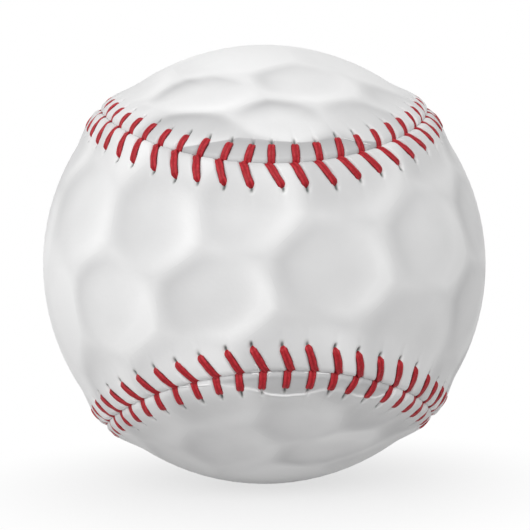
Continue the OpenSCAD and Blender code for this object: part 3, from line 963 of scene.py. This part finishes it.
# Wound wool and yarn: turns laid side by side in patches that cross each other, with soft fuzz between them.
# A turn's width, a patch's size and the bumps' depth are in mm
windingLooks = {
    "wound_grey_wool": {"light": "#9A968E", "dark": "#4C4843", "turn": 1.3, "patch": 9.0, "fuzz": 0.5,
                        "sheen": 0.35, "bumpDepth": 0.39, "nodes": ["inner_grey_wool", "outer_grey_wool"]},
    "wound_white_wool": {"light": "#EDE8DC", "dark": "#A9A291", "turn": 1.0, "patch": 8.0, "fuzz": 0.45,
                         "sheen": 0.35, "bumpDepth": 0.3, "nodes": ["middle_white_wool"]},
    "wound_white_yarn": {"light": "#F3F0E8", "dark": "#B8B2A4", "turn": 0.5, "patch": 7.0, "fuzz": 0.2,
                         "sheen": 0.2, "bumpDepth": 0.15, "nodes": ["finishing_yarn"]},
}
windingShared = {
    "poles": [(0.9, 0.3, 0.31), (-0.35, 0.88, 0.32), (0.2, -0.42, 0.885)],  # that the turns run round
    "radius": 33.0,  # mm, about that of the windings
    "fuzzFine": 3.0,  # times finer than the turns
    "fuzzBends": 1.2,  # how far it pushes them aside
    "patchAway": (0.1, 0.03, 0),  # m, so that no two patches have the same noise
    "patchEdge": (0.49, 0.51),
    "tones": (0.15, 1.0),
    "roughness": 0.9,  # matt fibres
    "ior": 1.5,
    "bump": 0.7,
}


def woundStrands(name, look):
    material, add, shader = newMaterial(name)
    coords = add("TexCoord", out="Object")
    outward = add("VectorMath", [coords], "NORMALIZE")
    fuzz = add("TexNoise", {"Vector": coords, "Scale": look["fuzzFine"] / (look["turn"] * mm),
                            "Detail": 4.0, "Roughness": 0.7})
    around = 2 * math.pi * look["radius"] / look["turn"]
    height = None
    for i, pole in enumerate(look["poles"]):
        pole = Vector(pole).normalized()
        rise = add("VectorMath", [outward, pole], "DOT_PRODUCT", out="Value")
        latitude = add("Math", [rise], "ARCSINE")
        phase = add("Math", [fuzz, look["fuzz"] * look["fuzzBends"]], "MULTIPLY")
        phase = add("Math", [latitude, around, phase], "MULTIPLY_ADD")
        turns = add("Math", [phase], "SINE")
        turns = add("Math", [turns, 0.5, 0.5], "MULTIPLY_ADD")
        if height is None:
            height = turns
            continue
        shift = add("VectorMath", [coords, Vector(look["patchAway"]) * i], "ADD")
        patch = add("TexNoise", {"Vector": shift, "Scale": 1 / (look["patch"] * mm), "Detail": 0.0})
        above = add("MapRange", [patch, *look["patchEdge"]])
        height = add("Mix", {"Factor": above, 2: height, 3: turns})
    height = add("Math", [fuzz, look["fuzz"], height], "MULTIPLY_ADD")
    # painted shade: the low ground between the turns is darker than their tops
    shade = add("MapRange", [height, *look["tones"]])
    tint = add("Mix", {"Factor": shade, 6: look["dark"], 7: look["light"]}, **colours)
    inputs = {"Base Color": tint, "Sheen Weight": look["sheen"]}
    return closeMaterial(material, add, shader, look, height, inputs)


# Latex adhesive, dipped and dried: an amber film, glossy where it is thick and dull where it sank in
latexLook = {
    "thin": "#C9AE72",
    "thick": "#A67C34",
    "pool": 6.0,  # mm
    "poolTones": (0.35, 0.65),
    "gloss": 0.28,
    "roughness": 0.6,
    "ior": 1.52,
    "yarnScale": 1500.0,
    "bump": 0.4,
    "bumpDepth": 0.2,  # mm
}


def driedLatex(look):
    material, add, shader = newMaterial("dipped_latex_film")
    coords = add("TexCoord", out="Object")
    pool = add("TexNoise", {"Vector": coords, "Scale": 1 / (look["pool"] * mm), "Detail": 4.0,
                            "Distortion": 0.6})
    pool = add("MapRange", [pool, *look["poolTones"]])
    tint = add("Mix", {"Factor": pool, 6: look["thin"], 7: look["thick"]}, **colours)
    rough = add("MapRange", [pool, 0.0, 1.0, look["roughness"], look["gloss"]])
    yarn = add("TexNoise", {"Vector": coords, "Scale": look["yarnScale"], "Detail": 2.0})
    height = add("Math", [pool, yarn], "ADD")
    return closeMaterial(material, add, shader, look, height, {"Base Color": tint, "Roughness": rough})


coverNodes(mouldedCork(corkLook), ["cork_core"])
for makeMaterial, looks, shared in ((curedRubber, rubberLooks, rubberShared),
                                    (woundStrands, windingLooks, windingShared)):
    for materialName, look in looks.items():
        coverNodes(makeMaterial(materialName, shared | look), look["nodes"])
coverNodes(driedLatex(latexLook), ["adhesive_coat"])
print("inside: cork, rubber, windings and adhesive")

# Studio: white floor that keeps the shadow near the ball, and soft light from the upper left. Lengths in m
studio = {
    "floorReach": 3.0,
    "shadowReach": (0.008, 0.06),  # from the middle, where the floor's own shading fades out to plain white
    "shadowShare": 0.3,
    "paper": "#D0D0D0",
    "paperRoughness": 0.9,
    "ambient": 0.36,
    "lampDistance": 1.2,
    "lamps": {
        "key": {"power": 7.95, "size": 0.9, "azimuth": -25, "elevation": 32},
        "side": {"power": 2.45, "size": 0.9, "azimuth": -85, "elevation": 8},
        "fill": {"power": 2.3, "size": 0.9, "azimuth": 35, "elevation": 32},
    },
}
plainWhite = {"Color": "#FFFFFF", "Strength": 1.0}


def seenRays(add):
    # 1 for what is seen straight on, in a gloss or through glass, and 0 for what only lights
    ray = add("LightPath", out=None).outputs
    seen = add("Math", [ray["Is Camera Ray"], ray["Is Glossy Ray"]], "MAXIMUM")
    return add("Math", [seen, ray["Is Transmission Ray"]], "MAXIMUM")


def whiteFloor(look, z):
    material, add, shader = newMaterial("white_seamless_paper")
    connect(shader, {"Base Color": look["paper"], "Roughness": look["paperRoughness"]})
    output = next(n for n in material.node_tree.nodes if n.type == "OUTPUT_MATERIAL")
    coords = add("TexCoord", out="Object")
    away = add("VectorMath", [coords], "LENGTH", out="Value")
    plain = add("MapRange", [away, *look["shadowReach"], 1 - look["shadowShare"], 1.0], **smooth)
    share = add("Math", [seenRays(add), plain], "MULTIPLY")
    connect(output, [add("MixShader", [share, shader.outputs[0], add("Emission", plainWhite)])])
    far = look["floorReach"]
    data = bpy.data.meshes.new("floor")
    data.from_pydata([(-far, -far, 0), (far, -far, 0), (far, far, 0), (-far, far, 0)], [], [(0, 1, 2, 3)])
    data.materials.append(material)
    floor = inScene("floor", data)
    floor.location = (0, 0, z)


def whiteWorld(look):
    world = bpy.data.worlds.new("white_surroundings")
    world.use_nodes = True
    world.node_tree.nodes.clear()
    add = partial(addNode, world.node_tree)
    lit = add("Background", {"Color": "#FFFFFF", "Strength": look["ambient"]})
    both = add("MixShader", [seenRays(add), lit, add("Background", plainWhite)])
    add("OutputWorld", [both], out=None)
    bpy.context.scene.world = world


def softbox(name, settings):
    spot = wayOut(settings) * studio["lampDistance"]
    data = bpy.data.lights.new(name, "AREA")
    data.energy = settings["power"]
    data.size = settings["size"]
    lamp = inScene(name, data)
    lamp.matrix_world = Matrix.Translation(spot) @ spot.to_track_quat("Z", "Y").to_matrix().to_4x4()


lowest = min(v.co.z for p in panels for v in p.data.vertices)
whiteFloor(studio, lowest)
whiteWorld(studio)
for lampName, lampSettings in studio["lamps"].items():
    softbox(lampName + "_softbox", lampSettings)
bpy.context.scene.view_settings.view_transform = "Standard"
print("studio: floor, surroundings and lamps")
